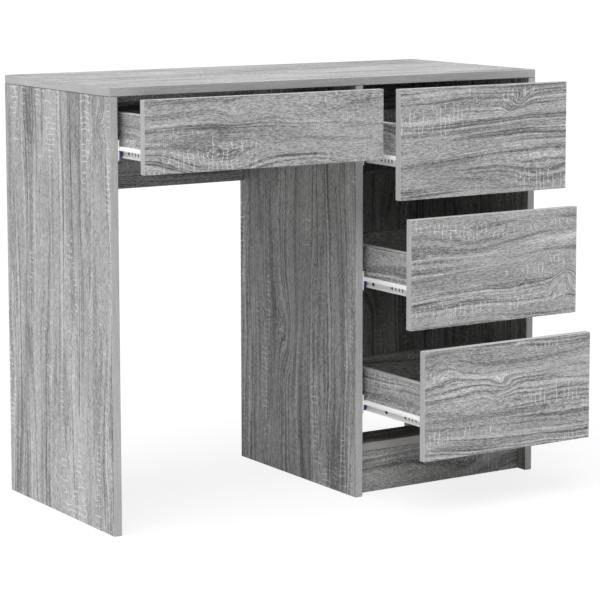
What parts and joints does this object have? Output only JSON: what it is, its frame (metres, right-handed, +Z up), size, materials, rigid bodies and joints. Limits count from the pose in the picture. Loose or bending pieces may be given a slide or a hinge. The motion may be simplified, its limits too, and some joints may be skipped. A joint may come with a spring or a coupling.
{
  "type": "writing desk",
  "caption": "Rectangular panel writing desk: knee space under a wide drawer, and a pedestal of handleless drawers on roller slides.",
  "frame": {"origin": "on the floor, under the middle of the desk as stored with its drawers partly open", "axes": "+X to the right along the desk's width, -Y towards the person sitting at it, +Z up"},
  "size_m": [0.9, 0.59, 0.765],
  "materials": {
    "oak_face": "satin grey-oak melamine",
    "oak_panel": "satin grey-oak melamine",
    "white_steel": "white powder coat",
    "blue_nylon": "moulded",
    "fibreboard": "matt"
  },
  "bodies": {
    "carcass": {"desktop": "oak_face", "side_left": "oak_face", "divider": "oak_face", "side_right": "oak_face", "rail_knee_back": "oak_panel", "rail_drawers_back": "oak_panel", "panel_drawers_back": "oak_panel", "plinth": "oak_panel", "rail_bottom": "oak_panel", "slide_cabinet_wide_left": "white_steel", "slide_cabinet_wide_right": "white_steel", "slide_cabinet_upper_left": "white_steel", "slide_cabinet_upper_right": "white_steel", "slide_cabinet_middle_left": "white_steel", "slide_cabinet_middle_right": "white_steel", "slide_cabinet_lower_left": "white_steel", "slide_cabinet_lower_right": "white_steel"},
    "drawer_wide": {"drawer_wide_front": "oak_face", "drawer_wide_side_left": "oak_panel", "drawer_wide_side_right": "oak_panel", "drawer_wide_back": "oak_panel", "drawer_wide_bottom": "fibreboard", "slide_drawer_wide_left": "white_steel", "slide_drawer_wide_right": "white_steel"},
    "drawer_upper": {"drawer_upper_front": "oak_face", "drawer_upper_side_left": "oak_panel", "drawer_upper_side_right": "oak_panel", "drawer_upper_back": "oak_panel", "drawer_upper_bottom": "fibreboard", "slide_drawer_upper_left": "white_steel", "slide_drawer_upper_right": "white_steel"},
    "drawer_middle": {"drawer_middle_front": "oak_face", "drawer_middle_side_left": "oak_panel", "drawer_middle_side_right": "oak_panel", "drawer_middle_back": "oak_panel", "drawer_middle_bottom": "fibreboard", "slide_drawer_middle_left": "white_steel", "slide_drawer_middle_right": "white_steel"},
    "drawer_lower": {"drawer_lower_front": "oak_face", "drawer_lower_side_left": "oak_panel", "drawer_lower_side_right": "oak_panel", "drawer_lower_back": "oak_panel", "drawer_lower_bottom": "fibreboard", "slide_drawer_lower_left": "white_steel", "slide_drawer_lower_right": "white_steel"},
    "roller_wide_left": {"roller_wide_left": "blue_nylon"},
    "roller_wide_right": {"roller_wide_right": "blue_nylon"},
    "roller_upper_left": {"roller_upper_left": "blue_nylon"},
    "roller_upper_right": {"roller_upper_right": "blue_nylon"},
    "roller_middle_left": {"roller_middle_left": "blue_nylon"},
    "roller_middle_right": {"roller_middle_right": "blue_nylon"},
    "roller_lower_left": {"roller_lower_left": "blue_nylon"},
    "roller_lower_right": {"roller_lower_right": "blue_nylon"}
  },
  "joints": [
    {"name": "drawer_wide_slide", "type": "slide", "parent": "carcass", "child": "drawer_wide", "axis": [0, -1, 0], "range_m": [-0.073, 0.152]},
    {"name": "drawer_upper_slide", "type": "slide", "parent": "carcass", "child": "drawer_upper", "axis": [0, -1, 0], "range_m": [-0.0975, 0.1275]},
    {"name": "drawer_middle_slide", "type": "slide", "parent": "carcass", "child": "drawer_middle", "axis": [0, -1, 0], "range_m": [-0.1315, 0.0935]},
    {"name": "drawer_lower_slide", "type": "slide", "parent": "carcass", "child": "drawer_lower", "axis": [0, -1, 0], "range_m": [-0.174, 0.051]},
    {"name": "roller_wide_left_spin", "type": "hinge", "parent": "carcass", "child": "roller_wide_left", "pos_m": [-0.4279, -0.0948, 0.6548], "axis": [1, 0, 0], "continuous": true},
    {"name": "roller_wide_right_spin", "type": "hinge", "parent": "carcass", "child": "roller_wide_right", "pos_m": [0.0379, -0.0948, 0.6548], "axis": [1, 0, 0], "continuous": true},
    {"name": "roller_upper_left_spin", "type": "hinge", "parent": "carcass", "child": "roller_upper_left", "pos_m": [0.0671, -0.0948, 0.6193], "axis": [1, 0, 0], "continuous": true},
    {"name": "roller_upper_right_spin", "type": "hinge", "parent": "carcass", "child": "roller_upper_right", "pos_m": [0.4279, -0.0948, 0.6193], "axis": [1, 0, 0], "continuous": true},
    {"name": "roller_middle_left_spin", "type": "hinge", "parent": "carcass", "child": "roller_middle_left", "pos_m": [0.0671, -0.0948, 0.3928], "axis": [1, 0, 0], "continuous": true},
    {"name": "roller_middle_right_spin", "type": "hinge", "parent": "carcass", "child": "roller_middle_right", "pos_m": [0.4279, -0.0948, 0.3928], "axis": [1, 0, 0], "continuous": true},
    {"name": "roller_lower_left_spin", "type": "hinge", "parent": "carcass", "child": "roller_lower_left", "pos_m": [0.0671, -0.0948, 0.1663], "axis": [1, 0, 0], "continuous": true},
    {"name": "roller_lower_right_spin", "type": "hinge", "parent": "carcass", "child": "roller_lower_right", "pos_m": [0.4279, -0.0948, 0.1663], "axis": [1, 0, 0], "continuous": true}
  ],
  "couplings": [
    {"joint": "roller_wide_left_spin", "follows": "drawer_wide_slide", "rad_per_m": 108.7},
    {"joint": "roller_wide_right_spin", "follows": "drawer_wide_slide", "rad_per_m": 108.7},
    {"joint": "roller_upper_left_spin", "follows": "drawer_upper_slide", "rad_per_m": 108.7},
    {"joint": "roller_upper_right_spin", "follows": "drawer_upper_slide", "rad_per_m": 108.7},
    {"joint": "roller_middle_left_spin", "follows": "drawer_middle_slide", "rad_per_m": 108.7},
    {"joint": "roller_middle_right_spin", "follows": "drawer_middle_slide", "rad_per_m": 108.7},
    {"joint": "roller_lower_left_spin", "follows": "drawer_lower_slide", "rad_per_m": 108.7},
    {"joint": "roller_lower_right_spin", "follows": "drawer_lower_slide", "rad_per_m": 108.7}
  ]
}
